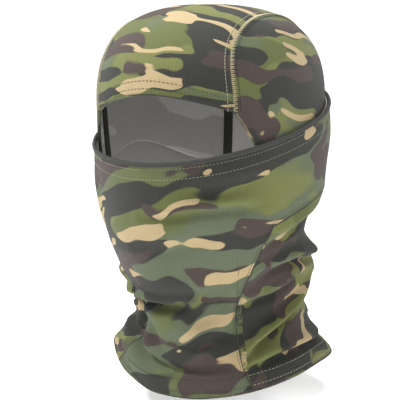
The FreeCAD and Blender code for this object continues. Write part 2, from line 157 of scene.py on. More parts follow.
MM = 0.001
GIRTHS = np.array([
    # height, half width, half depth, shift towards the back
    (0.0, 80.0, 79.0, 0.0), (25.0, 67.0, 69.0, 0.5), (55.0, 60.0, 65.5, 1.0),
    (92.0, 68.5, 82.0, -7.0), (135.0, 76.5, 98.0, -12.0), (180.0, 79.5, 103.5, -13.0),
    (210.0, 80.3, 104.5, -13.0),
]) * MM
TEMPLE = GIRTHS[-1, 0]
RISE = 72.0 * MM
CROWN_SQUARENESS = 2.6
CLOTH = 1.1 * MM
SHIELD_GAP = 2.2 * MM
SHIELD_SLOPE = math.tan(math.radians(15.3))
SHIELD_FRONT = (-118.0 * MM, 169.0 * MM)
SKIRT_DEPTHS = ((0, 25), (95, 25), (150, 62), (180, 62))
NECK_HEM = 14.0 * MM
MEAN_RADIUS = 88.0 * MM
ROUNDS_TO_SETTLE = 8


def smooth_between(places, values, place):
    """Smooth curve through points, with flat steps kept free of overshoot."""
    places, values = np.asarray(places, float), np.asarray(values, float)
    place = np.clip(np.asarray(place, float), places[0], places[-1])
    steps = np.diff(places)
    rises = np.diff(values) / steps
    slopes = np.zeros(len(places))
    slopes[0], slopes[-1] = rises[0], rises[-1]
    before, after = rises[:-1], rises[1:]
    same_way = before * after > 0
    slopes[1:-1] = np.where(same_way, 2 * before * after / np.where(same_way, before + after, 1.0), 0)
    k = np.clip(np.searchsorted(places, place, side="right") - 1, 0, len(steps) - 1)
    t = (place - places[k]) / steps[k]
    return (
        values[k] * (1 + 2 * t) * (1 - t) ** 2
        + slopes[k] * steps[k] * t * (1 - t) ** 2
        + values[k + 1] * t * t * (3 - 2 * t)
        + slopes[k + 1] * steps[k] * t * t * (t - 1)
    )


def girth(level):
    """Half width, half depth and shift at a level."""
    return [smooth_between(GIRTHS[:, 0], GIRTHS[:, k], np.minimum(level, TEMPLE)) for k in (1, 2, 3)]


def around(angle, level, depth=0.0):
    """Points at angles and levels, a depth outside the hood's face."""
    angle, level, depth = np.broadcast_arrays(*(np.asarray(v, float) for v in (angle, level, depth)))
    half_width, half_depth, shift = girth(level)
    lift = np.sin(np.clip((level - TEMPLE) / RISE, 0.0, math.pi / 2))
    narrowing = (1.0 - lift ** CROWN_SQUARENESS) ** (1.0 / CROWN_SQUARENESS)
    height = np.minimum(level, TEMPLE) + (RISE + depth) * lift
    x = (half_width + depth) * narrowing * np.sin(angle)
    y = shift - (half_depth + depth) * narrowing * np.cos(angle)
    return np.stack([x, y, height], axis=-1)


def over(x, turn, depth=0.0):
    """Points over the crown at a width x, turned from the brow (0) to the nape (pi)."""
    x, turn, depth = np.broadcast_arrays(*(np.asarray(v, float) for v in (x, turn, depth)))
    below = np.maximum(np.maximum(-turn, turn - math.pi), 0.0)
    half_width, half_depth, shift = girth(TEMPLE - RISE * below)
    a, b, c = half_width + depth, half_depth + depth, RISE + depth
    across = np.clip((x / a) ** 2, 0.0, 1.0)
    cosine, sine = np.cos(turn), np.sin(np.clip(turn, 0.0, math.pi))
    low, high = np.zeros_like(x), np.full_like(x, 1.2)
    halvings = 36
    for _ in range(halvings):
        reach = (low + high) / 2
        total = (across + (reach * cosine) ** 2) ** (CROWN_SQUARENESS / 2)
        inside = total + (reach * sine) ** CROWN_SQUARENESS < 1
        low, high = np.where(inside, reach, low), np.where(inside, high, reach)
    facing = np.where(turn < math.pi / 2, -1.0, 1.0)
    y = np.where(below > 0, shift + facing * b * np.sqrt(1 - across), shift - b * low * cosine)
    z = np.where(below > 0, TEMPLE - RISE * below, TEMPLE + c * low * sine)
    return np.stack([x, y, z], axis=-1)


def place_of(point):
    """Angle and level of points that lie on the form."""
    height = np.clip(point[..., 2], 0.0, TEMPLE + RISE)
    half_width, half_depth, shift = girth(height)
    angle = np.arctan2(point[..., 0] / half_width, (shift - point[..., 1]) / half_depth)
    lift = np.clip((height - TEMPLE) / RISE, 0.0, 1.0)
    climb = np.arcsin(lift)
    return angle, np.where(height <= TEMPLE, height, TEMPLE + climb * RISE)


def shield_edge(angle, drop=0.0):
    """Level of the shield's top edge, less a drop: low over the nose, high at the back."""
    level = np.full(np.shape(angle), SHIELD_FRONT[1])
    for _ in range(ROUNDS_TO_SETTLE):
        y = around(angle, level)[..., 1]
        level = SHIELD_FRONT[1] + (y - SHIELD_FRONT[0]) * SHIELD_SLOPE - drop
    return level


def centre_half_width(turn):
    """Half width of the crown's centre panel from brow to nape."""
    return smooth_between((-0.2, 0.0, 0.8, 1.8, 3.3), np.array((54, 54, 49, 48, 32)) * MM, turn)


BROW_HALF_WIDTH = 54.0 * MM
BROW_TOP = 217.0 * MM
BROW_DIP = 12.0 * MM


def brow_turn(x):
    """Where the brow edge lies: highest in the middle, lower at its corners."""
    return (BROW_TOP - BROW_DIP * (np.asarray(x) / BROW_HALF_WIDTH) ** 2 - TEMPLE) / RISE


def skirt_edge(angle, above=0.0):
    """Level of the hood's lower edge, which is tucked into the tube, or of a line above it."""
    from_face = 180.0 - np.abs(180.0 - np.degrees(np.abs(angle)))
    return shield_edge(angle, smooth_between(*zip(*SKIRT_DEPTHS), from_face) * MM - above)


def nape_turn(x):
    """Where the hood's lower edge lies at the back."""
    level = skirt_edge(math.pi - np.arcsin(np.asarray(x) / GIRTHS[-1, 1]))
    return math.pi + (TEMPLE - level) / RISE


OPENING_CORNER = (-90.0 * MM, 205.0 * MM)
OPENING_LEAN = 16.0 / 25.0


def opening_angle(level, setback=0.0):
    """Angle of the face opening's side edge at a level, moved back by a distance."""
    y = OPENING_CORNER[0] + (OPENING_CORNER[1] - level) * OPENING_LEAN + setback
    _, half_depth, shift = girth(level)
    return np.arccos((shift - y) / half_depth)


# The opening's side edge ends where it meets the hood's lower edge.
OPENING_FOOT = 180.0 * MM
for _ in range(ROUNDS_TO_SETTLE):
    OPENING_FOOT = float(skirt_edge(opening_angle(OPENING_FOOT)))

SEAM_CHEEK = 124.0 * MM
SEAM_NAPE = 152.0 * MM
SEAM_PLACES = np.array((0.0, 25.0, 55.0, 92.0, 124.0)) * MM
SEAM_ANGLES = np.radians((42.0, 38.0, 37.5, 50.0, 62.0))


def side_seam_front(level):
    """Angle of the side seam's steep stretch, from the collar up to the cheek."""
    return smooth_between(SEAM_PLACES, SEAM_ANGLES, level)


def side_seam_back(share):
    """Angle and level of the side seam's stretch from the cheek (0) to the nape (1)."""
    start = SEAM_ANGLES[-1]
    rise = SEAM_NAPE - SEAM_CHEEK
    return start + (math.pi - start) * share, SEAM_CHEEK + rise * (1 - (1 - share) ** 2.5)


# ---- Cloth: how a flat knit panel becomes a mesh ----
# Each panel is a closed sheet of even thickness with its print on the outside and its grey
# reverse on the inside. Its map is in metres of cloth, so that print and ribs keep their size.

# The hem rises over the shoulders by (angle in degrees, millimetres), and less above it.
LIFT_TOP = 110.0 * MM
HEM_LIFTS = (
    (-180, 16), (-150, 16), (-117, 18), (-90, 24), (-63, 26), (-45, 17), (-27, 8), (-8, 1),
    (10, 0), (27, 2), (42, 5), (63, 11), (90, 17), (117, 18), (150, 16), (180, 16),
)

# Folds of the neck tube: half width and depth in millimetres and the share of the ridge beside it,
# then the (angle, level) places that each runs through, in degrees and millimetres.
FOLDS = (
    # under the chin, from ear to ear
    ((3.2, 12.0, 0.7), ((6, 63), (-10, 60), (-27, 57), (-45, 56), (-66, 58))),
    # the neck sinks in behind the collar on the wearer's right, and its cloth folds over the hem
    ((7.0, 18.0, 0.2), ((-40, 46), (-37, 34), (-35, 24))),
    ((4.0, 9.0, 0.5), ((-84, 34), (-58, 31), (-40, 26), (-26, 19), (-6, 15), (16, 14), (33, 15))),
    ((4.5, 5.2, 0.7), ((-30, 44), (-19, 32), (-8, 24))),
    ((5.5, 4.8, 0.6), ((38, 62), (28, 70), (14, 72), (-4, 68), (-26, 64))),
    ((5.0, 4.0, 0.6), ((34, 44), (20, 36), (8, 30), (-4, 30))),
    # a tuck across the left cheek, and slack beside the right one
    ((2.8, 3.0, 1.1), ((60, 139), (42, 138), (26, 136), (12, 133), (-4, 131))),
    ((5.0, 3.2, 0.6), ((56, 158), (38, 152), (20, 152))),
    ((5.5, 3.2, 0.5), ((-40, 160), (-48, 138), (-50, 116))),
    ((6.0, 3.0, 0.6), ((30, 118), (8, 108), (-14, 108))),
    # creases that fall from the nape towards each side seam
    ((3.6, 11.0, 0.9), ((108, 72), (96, 58), (80, 47), (64, 38), (50, 29), (42, 21))),
    ((3.2, 8.0, 0.9), ((118, 17), (99, 15), (78, 17), (60, 17), (42, 14))),
    ((3.6, 6.4, 0.8), ((92, 80), (78, 73), (62, 66), (48, 64), (38, 60))),
    ((3.6, 7.6, 0.8), ((120, 92), (103, 91), (84, 94), (66, 90), (54, 84))),
    ((3.0, 3.6, 0.8), ((104, 128), (86, 123), (66, 114), (54, 108))),
    ((3.6, 10.0, 0.9), ((-102, 66), (-88, 52), (-72, 42), (-54, 34))),
    ((3.4, 7.2, 0.8), ((-116, 92), (-96, 94), (-72, 88), (-56, 84))),
    ((3.2, 7.6, 0.8), ((-150, 34), (-122, 26), (-98, 20), (-76, 20))),
    ((4.0, 8.0, 0.8), ((168, 78), (150, 70), (132, 68), (118, 58))),
    ((4.0, 8.0, 0.8), ((-172, 60), (-150, 66), (-132, 60))),
    ((3.6, 6.8, 0.8), ((172, 36), (148, 30), (126, 34))),
)
# A ridge stands beside its fold, in half widths of the fold.
CREST_PLACE = 1.9
CREST_WIDTH = 1.3
# Broad hollows and swellings: the middle, how far it reaches, and how far it pushes out, in the
# same units.
SWELLS = (
    ((118, 117), (25, 14), -14.0), ((-118, 117), (25, 14), -12.0), ((180, 100), (30, 24), -7.0),
    ((-58, 73), (24, 9), 5.0), ((-62, 34), (24, 14), -4.0), ((-72, 172), (14, 9), -2.0),
    ((110, 186), (26, 18), 2.0), ((104, 88), (18, 10), 3.0), ((112, 4), (16, 12), 4.0),
)
# The side seam's doubled cloth is stiffer, so folds run shallow across it.
SEAM_CALM = 0.6
SEAM_CALM_REACH = 5.0 * MM


def fold_depth(angle, level):
    """How far the folds push the tube's cloth outwards at angles and levels."""
    pushed = np.zeros(np.broadcast(angle, level).shape)
    angle = (angle + math.pi) % (2 * math.pi) - math.pi
    for (middle, height), (reach, rise), push in SWELLS:
        beside = (angle - math.radians(middle) + math.pi) % (2 * math.pi) - math.pi
        pushed += push * MM * np.exp(
            -(beside / math.radians(reach)) ** 2 - ((level - height * MM) / (rise * MM)) ** 2)
    for (half_width, depth, ridge), line in FOLDS:
        places = np.array(line) * (math.radians(1.0) * MEAN_RADIUS, MM)
        spans = np.linalg.norm(np.diff(places, axis=0), axis=1)
        reached = np.concatenate([[0.0], np.cumsum(spans)])
        nearest = np.full(pushed.shape, 1e9)
        beside, along = np.zeros(pushed.shape), np.zeros(pushed.shape)
        for k, span in enumerate(spans):
            way = (places[k + 1] - places[k]) / span
            to_x, to_y = angle * MEAN_RADIUS - places[k, 0], level - places[k, 1]
            share = np.clip((to_x * way[0] + to_y * way[1]) / span, 0, 1)
            off_x, off_y = to_x - share * span * way[0], to_y - share * span * way[1]
            distance = np.hypot(off_x, off_y)
            closer = distance < nearest
            nearest = np.where(closer, distance, nearest)
            beside = np.where(closer, np.sign(to_x * way[1] - to_y * way[0]) * distance, beside)
            along = np.where(closer, (reached[k] + share * span) / reached[-1], along)
        fading = np.sin(math.pi * np.clip(0.06 + 0.88 * along, 0, 1)) ** 0.7
        w = half_width * MM
        valley = -np.exp(-(nearest / w) ** 2)
        crest = ridge * np.exp(-((beside - CREST_PLACE * w) / (CREST_WIDTH * w)) ** 2) * np.exp(
            -((nearest - np.abs(beside)) / w) ** 2)
        pushed += depth * MM * fading * (valley + crest)
    from_seam = (np.abs(angle) - side_seam_front(level)) * MEAN_RADIUS
    return pushed * (1 - SEAM_CALM * np.exp(-(from_seam / SEAM_CALM_REACH) ** 2))


def tube(angle, level, depth=0.0):
    """Points of the neck tube: its hem rises over the shoulders, and its cloth lies in folds."""
    angle, level, depth = np.broadcast_arrays(*(np.asarray(v, float) for v in (angle, level, depth)))
    spots = around(angle, level, SHIELD_GAP + depth + fold_depth(angle, level))
    share = np.clip(1.0 - level / LIFT_TOP, 0.0, 1.0) ** 1.5
    from_face = np.degrees((angle + math.pi) % (2 * math.pi) - math.pi)
    places, lifts = zip(*HEM_LIFTS)
    spots[..., 2] += smooth_between(places, lifts, from_face) * MM * share
    return spots


def cloth_panel(name, place, surface, rows, columns, inner, outer, materials, chart=None):
    """A closed sheet. place(u, v) gives two coordinates, surface(a, b, depth) the point there,
    and chart(a, b) its map in metres. The materials are those of the outside and the inside."""
    u, v = np.meshgrid(np.linspace(0, 1, rows), np.linspace(0, 1, columns), indexing="ij")
    first, second = (np.broadcast_to(part, u.shape) for part in place(u, v))
    verts = np.concatenate([surface(first, second, depth).reshape(-1, 3) for depth in (outer, inner)])
    count = rows * columns
    index = np.arange(count).reshape(rows, columns)
    quads = np.stack([index[:-1, :-1], index[1:, :-1], index[1:, 1:], index[:-1, 1:]], -1)
    quads = quads.reshape(-1, 4)
    rim = np.concatenate([index[:-1, 0], index[-1, :-1], index[:0:-1, -1], index[0, :0:-1]])
    following = np.roll(rim, -1)
    walls = np.stack([rim, rim + count, following + count, following], -1)
    faces = np.concatenate([quads, quads[:, ::-1] + count, walls])
    flat = np.stack(chart(first, second) if chart else (first * MEAN_RADIUS, second), -1)
    flat = np.concatenate([flat.reshape(-1, 2)] * 2)
    slots = np.zeros(len(faces), dtype=np.int32)
    slots[len(quads):2 * len(quads)] = 1
    return finished_mesh(name, verts, faces, materials, flat, slots)


def finished_mesh(name, verts, faces, materials, flat=None, slots=None):
    """An object from points and faces, smooth, facing outwards, with its cloth map."""
    mesh = bpy.data.meshes.new(name)
    mesh.from_pydata(verts.tolist(), [], faces.tolist())
    if flat is not None:
        corners = np.empty(len(mesh.loops), dtype=np.int32)
        mesh.loops.foreach_get("vertex_index", corners)
        mesh.uv_layers.new(name="cloth").data.foreach_set("uv", flat[corners].ravel())
    for material in materials:
        mesh.materials.append(material)
    if slots is not None:
        mesh.polygons.foreach_set("material_index", slots)
    mesh.polygons.foreach_set("use_smooth", np.ones(len(faces), dtype=bool))
    outward = bmesh.new()
    outward.from_mesh(mesh)
    bmesh.ops.recalc_face_normals(outward, faces=outward.faces)
    outward.to_mesh(mesh)
    outward.free()
    made = bpy.data.objects.new(name, mesh)
    scene.collection.objects.link(made)
    return made


def unit(vectors):
    """The same directions at length 1."""
    return vectors / np.maximum(np.linalg.norm(vectors, axis=-1, keepdims=True), 1e-12)


def rolled_edge(name, edge, count, depth, radius, material, squash=1.0, up=0.0, closed=False):
    """A rounded fold along an edge. edge(s, up, depth) gives points: s along it from 0 to 1, up
    into the panel."""
    s = np.linspace(0, 1, count)
    centre = edge(s, up, depth)
    outwards = unit(edge(s, up, depth + MM) - centre)
    inwards = edge(s, up + MM, depth) - centre
    inwards = unit(inwards - outwards * np.sum(inwards * outwards, axis=-1, keepdims=True))
    sides = 10
    turn = np.linspace(0, 2 * math.pi, sides, endpoint=False)
    rings = centre[:, None] + radius * (
        np.cos(turn)[None, :, None] * outwards[:, None] * squash
        + np.sin(turn)[None, :, None] * inwards[:, None])
    index = np.arange(count * sides).reshape(count, sides)
    beside = np.roll(index, -1, axis=1)
    quads = np.stack([index[:-1], index[1:], beside[1:], beside[:-1]], -1).reshape(-1, 4)
    faces = quads.tolist()
    if not closed:
        faces += [index[0].tolist(), index[-1, ::-1].tolist()]
    length = np.concatenate([[0], np.cumsum(np.linalg.norm(np.diff(centre, axis=0), axis=1))])
    flat = np.stack(np.broadcast_arrays(length[:, None], turn[None] * radius), -1).reshape(-1, 2)
    return finished_mesh(name, rings.reshape(-1, 3), ListedFaces(faces), [material], flat)


class ListedFaces(list):
    """Faces with different numbers of corners, in the form that finished_mesh takes."""
    def tolist(self):
        return list(self)


def stitch_row(name, edge, pitch, length, thickness, material, up=0.0, depth=0.0, slant=0.0,
               first=0.0, last=1.0):
    """A row of stitches along edge(s, up, depth): each a short thread, thick in its middle, that
    lies on the cloth. slant turns them from the row, in radians."""
    s = np.linspace(first, last, 3000)
    line = edge(s, up, depth)
    gone = np.concatenate([[0], np.cumsum(np.linalg.norm(np.diff(line, axis=0), axis=1))])
    count = int(gone[-1] / pitch)
    centres_at = np.interp((np.arange(count) + 0.5) * pitch, gone, s)
    centre = edge(centres_at, up, depth)
    ahead = unit(edge(np.minimum(centres_at + 1e-3, last), up, depth) - edge(
        np.maximum(centres_at - 1e-3, first), up, depth))
    outwards = unit(edge(centres_at, up, depth + MM) - centre)
    sideways = np.cross(outwards, ahead)
    turned = slant * np.where(np.arange(count) % 2 == 0, 1.0, -1.0)[:, None]
    way = ahead * np.cos(turned) + sideways * np.sin(turned)
    beside = np.cross(outwards, way)
    sides = 5
    verts = [centre - way * length / 2 - outwards * thickness * 0.3]
    for place, swell in ((-0.32, 0.8), (0.0, 1.0), (0.32, 0.8)):
        for k in range(sides):
            turn = 2 * math.pi * k / sides
            verts.append(centre + way * length * place + thickness / 2 * swell * (
                math.cos(turn) * beside + (math.sin(turn) + 0.35) * outwards))
    verts.append(centre + way * length / 2 - outwards * thickness * 0.3)
    each = len(verts)
    faces = []
    for k in range(sides):
        after = (k + 1) % sides
        faces.append((0, 1 + after, 1 + k))
        for ring in (0, 1):
            low = 1 + ring * sides
            faces.append((low + k, low + after, low + sides + after, low + sides + k))
        faces.append((each - 1, 1 + 2 * sides + k, 1 + 2 * sides + after))
    points = np.stack(verts, axis=1).reshape(-1, 3)
    every = [tuple(corner + each * n for corner in face) for n in range(count) for face in faces]
    return finished_mesh(name, points, ListedFaces(every), [material])


def mirrored(surface, side):
    """The same surface on the wearer's left (side 1) or right (side -1)."""
    return lambda a, b, depth: surface(a, b, depth) * np.array((side, 1.0, 1.0))


# ---- Woodland print and ribbed knit ----
# The print is six dyes: two greens that run into each other, charcoal, maroon brown, a lime green
# and a few small tan patches, all drawn out sideways. The knit is fine ribs with rows of loops.

SAGE = (0.078, 0.094, 0.058)
OLIVE = (0.080, 0.091, 0.031)
CHARCOAL = (0.025, 0.026, 0.022)
MAROON = (0.048, 0.036, 0.032)
LIME = (0.112, 0.122, 0.042)
TAN = (0.315, 0.245, 0.135)
REVERSE_GREY = (0.42, 0.41, 0.39)
RIB_HEIGHT = 0.0004
GHOST_STRENGTH = 0.6
SEED_STEP = 7.31


def new_group(name, inputs, outputs):
    """An empty shader node group with its sockets: (name, type, default) and (name, type)."""
    group = bpy.data.node_groups.new(name, "ShaderNodeTree")
    for label, kind, default in inputs:
        socket = group.interface.new_socket(label, in_out="INPUT", socket_type=kind)
        if default is not None:
            socket.default_value = default
    for label, kind in outputs:
        group.interface.new_socket(label, in_out="OUTPUT", socket_type=kind)
    start = group.nodes.new("NodeGroupInput")
    end = group.nodes.new("NodeGroupOutput")
    return group, start, end


def add(tree, kind, settings=(), **inputs):
    """A node with its settings and inputs: each input a value, or a socket to link."""
    node = tree.nodes.new(kind)
    for label, value in dict(settings).items():
        setattr(node, label, value)
    for label, value in inputs.items():
        label = label.replace("_", " ")
        socket = node.inputs[int(label[1:])] if label[0] == "n" and label[1:].isdigit() \
            else node.inputs[label]
        if isinstance(value, bpy.types.NodeSocket):
            tree.links.new(value, socket)
        else:
            socket.default_value = value
    return node


def reckon(tree, operation, *values, kind="ShaderNodeMath"):
    """The result of one sum, whose values are numbers or sockets."""
    sockets = {"n%d" % k: value for k, value in enumerate(values)}
    return add(tree, kind, {"operation": operation}, **sockets).outputs[0]


def woodland_print():
    """Node group: cloth coordinates in metres and a seed give the print's colour."""
    group, start, end = new_group(
        "woodland_print",
        [("Cloth", "NodeSocketVector", None), ("Seed", "NodeSocketFloat", 0.0),
         ("Bright", "NodeSocketFloat", 0.5)],
        [("Color", "NodeSocketColor"), ("Ghost", "NodeSocketFloat")],
    )
    cloth, seed = start.outputs["Cloth"], start.outputs["Seed"]
    wander = add(group, "ShaderNodeTexNoise", {"noise_dimensions": "4D"},
                 Vector=cloth, W=seed, Scale=36.0, Detail=0.7, Roughness=0.4)
    vectors = {"kind": "ShaderNodeVectorMath"}
    centred = reckon(group, "SUBTRACT", wander.outputs["Color"], (0.5, 0.5, 0.5), **vectors)
    shove = reckon(group, "MULTIPLY", centred, (0.066, 0.0190, 0.0), **vectors)
    warped = reckon(group, "ADD", cloth, shove, **vectors)

    def patches(number, size, cover, edge, detail, brightness=0.0):
        """A mask of sideways patches: their size in metres, how rare they are, how soft and how
        ragged their edge is, and how much more of them a bright cut of the print has."""
        stretch = reckon(
            group, "MULTIPLY", warped, (1.0 / size[0], 1.0 / size[1], 1.0), **vectors)
        own_seed = reckon(group, "ADD", seed, SEED_STEP * number)
        noise = add(group, "ShaderNodeTexNoise", {"noise_dimensions": "4D"},
                    Vector=stretch, W=own_seed, Scale=1.0, Detail=detail, Roughness=0.45)
        more = reckon(group, "MULTIPLY_ADD", start.outputs["Bright"], brightness,
                      noise.outputs["Fac"])
        ramp = add(group, "ShaderNodeMapRange", {"interpolation_type": "SMOOTHSTEP"}, Value=more)
        ramp.inputs["From Min"].default_value = cover - edge
        ramp.inputs["From Max"].default_value = cover + edge
        return ramp.outputs["Result"]

    def dye(under, colour, mask):
        """A colour laid over what is under it, where the mask is 1."""
        layer = add(group, "ShaderNodeMix", {"data_type": "RGBA"})
        group.links.new(mask, layer.inputs[0])
        for socket, value in ((layer.inputs[6], under), (layer.inputs[7], colour)):
            if isinstance(value, bpy.types.NodeSocket):
                group.links.new(value, socket)
            else:
                socket.default_value = (*value, 1.0)
        return layer.outputs[2]

    olive_patches = patches(1, (0.060, 0.034), cover=0.57, edge=0.09, detail=0.5, brightness=0.16)
    lime_patches = patches(2, (0.050, 0.018), cover=0.62, edge=0.03, detail=0.6, brightness=0.13)
    dark_patches = patches(
        4, (0.074, 0.0185), cover=0.494, edge=0.008, detail=0.6, brightness=-0.06)
    brown_patches = patches(3, (0.056, 0.018), cover=0.585, edge=0.008, detail=0.6)
    tan_patches = patches(
        5, (0.040, 0.0105), cover=0.664, edge=0.007, detail=0.6, brightness=0.04)
    greens = dye(SAGE, OLIVE, olive_patches)
    limed = dye(greens, LIME, lime_patches)
    darkened = dye(limed, CHARCOAL, dark_patches)
    browned = dye(darkened, MAROON, brown_patches)
    finished = dye(browned, TAN, tan_patches)
    group.links.new(finished, end.inputs["Color"])
    group.links.new(dark_patches, end.inputs["Ghost"])
    return group


def rib_knit():
    """Node group: cloth coordinates in metres give the knit's height and its light and shade."""
    group, start, end = new_group(
        "rib_knit",
        [("Cloth", "NodeSocketVector", None), ("Rib", "NodeSocketFloat", 0.0011),
         ("Row", "NodeSocketFloat", 0.0009)],
        [("Height", "NodeSocketFloat"), ("Shade", "NodeSocketFloat")],
    )
    parts = add(group, "ShaderNodeSeparateXYZ", n0=start.outputs["Cloth"])

    def wave(coordinate, period, shift=None):
        """A sine wave along a coordinate, shifted by another one."""
        radians = reckon(
            group, "MULTIPLY", reckon(group, "DIVIDE", coordinate, period), 2 * math.pi)
        moved = radians if shift is None else reckon(group, "ADD", radians, shift)
        return reckon(group, "SINE", moved)

    ribs = wave(parts.outputs["X"], start.outputs["Rib"])
    rows = wave(parts.outputs["Y"], start.outputs["Row"], ribs)
    both = reckon(group, "MULTIPLY_ADD", rows, 0.45, ribs)
    height = reckon(group, "MULTIPLY_ADD", both, 0.34, 0.5)
    uneven = add(group, "ShaderNodeTexNoise", Vector=start.outputs["Cloth"], Scale=900.0, Detail=2.0)
    shade = reckon(group, "MULTIPLY_ADD", height, 0.36, 0.68)
    speckled = reckon(group, "MULTIPLY_ADD", uneven.outputs["Fac"], 0.30, shade)
    group.links.new(height, end.inputs["Height"])
    group.links.new(speckled, end.inputs["Shade"])
    return group


PRINT = woodland_print()
KNIT = rib_knit()


def cloth_coordinates(tree, turn, scale):
    """The cloth map, and the same turned and scaled as the panel is cut from the roll."""
    chart = add(tree, "ShaderNodeUVMap", {"uv_map": "cloth"})
    mapping = add(tree, "ShaderNodeMapping", Vector=chart.outputs["UV"])
    mapping.inputs["Rotation"].default_value = (0, 0, math.radians(turn))
    mapping.inputs["Scale"].default_value = (scale, scale, 1.0)
    return chart.outputs["UV"], mapping.outputs["Vector"]


def placed(tree, group, **inputs):
    """A node group in a tree, with its inputs: each a value, or a socket to link."""
    node = tree.nodes.new("ShaderNodeGroup")
    node.node_tree = group
    for label, value in inputs.items():
        if isinstance(value, bpy.types.NodeSocket):
            tree.links.new(value, node.inputs[label])
        else:
            node.inputs[label].default_value = value
    return node


def knit_finish(tree, shader, coordinates, colour):
    """Joins colour, shade and rib height to a matte knit's shader."""
    knit = placed(tree, KNIT, Cloth=coordinates)
    shaded = add(tree, "ShaderNodeMix", {"data_type": "RGBA", "blend_type": "MULTIPLY"})
    shaded.inputs[0].default_value = 1.0
    tree.links.new(colour, shaded.inputs[6])
    tree.links.new(knit.outputs["Shade"], shaded.inputs[7])
    tree.links.new(shaded.outputs[2], shader.inputs["Base Color"])
    relief = add(tree, "ShaderNodeBump", Height=knit.outputs["Height"], Strength=0.55,
                 Distance=RIB_HEIGHT)
    tree.links.new(relief.outputs["Normal"], shader.inputs["Normal"])
    shader.inputs["Roughness"].default_value = 0.86
    shader.inputs["Specular IOR Level"].default_value = 0.18
    shader.inputs["Sheen Weight"].default_value = 0.06
    shader.inputs["Sheen Roughness"].default_value = 0.5


def printed_knit(name, seed, turn=0.0, scale=1.0, bright=0.5):
    """The outside of a panel: woodland print on fine ribbed knit."""
    material, shader = new_material(name)
    tree = material.node_tree
    chart, cut_place = cloth_coordinates(tree, turn, scale)
    print_node = placed(tree, PRINT, Cloth=cut_place, Seed=seed, Bright=bright)
    knit_finish(tree, shader, chart, print_node.outputs["Color"])
    return material


def reverse_knit(name, seed):
    """The inside of a panel: undyed grey knit with the print showing faintly through."""
    material, shader = new_material(name)
    tree = material.node_tree
    chart, cut_place = cloth_coordinates(tree, turn=0.0, scale=0.7)
    print_node = placed(tree, PRINT, Cloth=cut_place, Seed=seed)
    pale = add(tree, "ShaderNodeMix", {"data_type": "RGBA"})
    strength = reckon(tree, "MULTIPLY", print_node.outputs["Ghost"], GHOST_STRENGTH)
    tree.links.new(strength, pale.inputs[0])
    pale.inputs[6].default_value = (*[1.18 * c for c in REVERSE_GREY], 1.0)
    pale.inputs[7].default_value = (*[0.62 * c for c in REVERSE_GREY], 1.0)
    knit_finish(tree, shader, chart, pale.outputs[2])
    return material


def plain_thread(name, colour, roughness=0.6, grain=0.0):
    """Thread, binding or tape of one colour, with a fine cross grain."""
    material, shader = new_material(name)
    tree = material.node_tree
    shader.inputs["Base Color"].default_value = (*colour, 1.0)
    shader.inputs["Roughness"].default_value = roughness
    shader.inputs["Specular IOR Level"].default_value = 0.3
    if grain:
        chart = add(tree, "ShaderNodeUVMap", {"uv_map": "cloth"})
        knit = placed(tree, KNIT, Cloth=chart.outputs["UV"], Rib=grain, Row=grain)
        relief = add(tree, "ShaderNodeBump", Height=knit.outputs["Height"], Strength=0.6,
                     Distance=0.0003)
        tree.links.new(relief.outputs["Normal"], shader.inputs["Normal"])
    return material


LIGHT_THREAD = plain_thread("light_thread", (0.27, 0.27, 0.19))
CREAM_THREAD = plain_thread("cream_thread", (0.42, 0.37, 0.23))
DARK_THREAD = plain_thread("dark_thread", (0.022, 0.024, 0.020))
OLIVE_THREAD = plain_thread("olive_thread", (0.30, 0.30, 0.20))
BLACK_BINDING = plain_thread("black_binding", (0.030, 0.030, 0.027), roughness=0.8, grain=0.0010)
ELASTIC = plain_thread("elastic_tape", (0.55, 0.54, 0.50), roughness=0.7, grain=0.0008)
BLACK_BOTH = (BLACK_BINDING, BLACK_BINDING)
ELASTIC_BOTH = (ELASTIC, ELASTIC)

# ---- Hood: centre panel ----
# One long piece from the brow over the crown to the nape, cut wide in front and narrow behind.
# Its brow edge is turned in over a flat elastic and sewn down with two rows of dark stitches.

CROWN_PRINT = printed_knit("crown_print", 3.0, turn=6.0, scale=1.05, bright=1.0)
CROWN_REVERSE = reverse_knit("crown_reverse", 3.0)
NAPE_HALF_WIDTH = 32.0 * MM
BROW_HEM = 10.0 * MM
BROW_LENGTH = 108.0 * MM
CROWN_RADIUS = 0.085


def follow_hood(part):
    """Bakes a hood part's placement into its mesh."""
    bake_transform(part)


def centre_place(u, v):
    """u runs from the brow to the nape, v from the wearer's right to the left."""
    share = 2 * v - 1
    first = brow_turn(share * BROW_HALF_WIDTH)
    turn = first + (nape_turn(share * NAPE_HALF_WIDTH) - first) * u
    return share * centre_half_width(turn), turn


def brow_line(s, up, depth):
    """The brow edge from side to side, with up measured into the panel."""
    x = (2 * s - 1) * (BROW_HALF_WIDTH - 0.4 * MM)
    return over(x, brow_turn(x) + up / RISE, depth)


centre_panel = cloth_panel(
    "centre_panel", centre_place, over, rows=150, columns=45, inner=-CLOTH, outer=0.0,
    materials=(CROWN_PRINT, CROWN_REVERSE), chart=lambda x, turn: (x, turn * CROWN_RADIUS),
)
brow_fold = cloth_panel(
    "brow_fold", lambda u, v: (u, v * BROW_HEM), brow_line, rows=60, columns=6,
    inner=-4.2 * MM, outer=-3.2 * MM, materials=(CROWN_REVERSE, CROWN_REVERSE),
    chart=lambda s, up: (s * BROW_LENGTH, up),
)
brow_roll = rolled_edge(
    "brow_roll", brow_line, count=60, depth=-2.1 * MM, radius=2.1 * MM, material=CROWN_PRINT,
    up=0.9 * MM)
brow_strip = cloth_panel(
    "brow_strip", lambda u, v: (0.03 + 0.94 * u, 2 * MM + v * 6 * MM), brow_line,
    rows=50, columns=4, inner=-2.9 * MM, outer=-1.8 * MM, materials=ELASTIC_BOTH,
    chart=lambda s, up: (s * BROW_LENGTH, up),
)
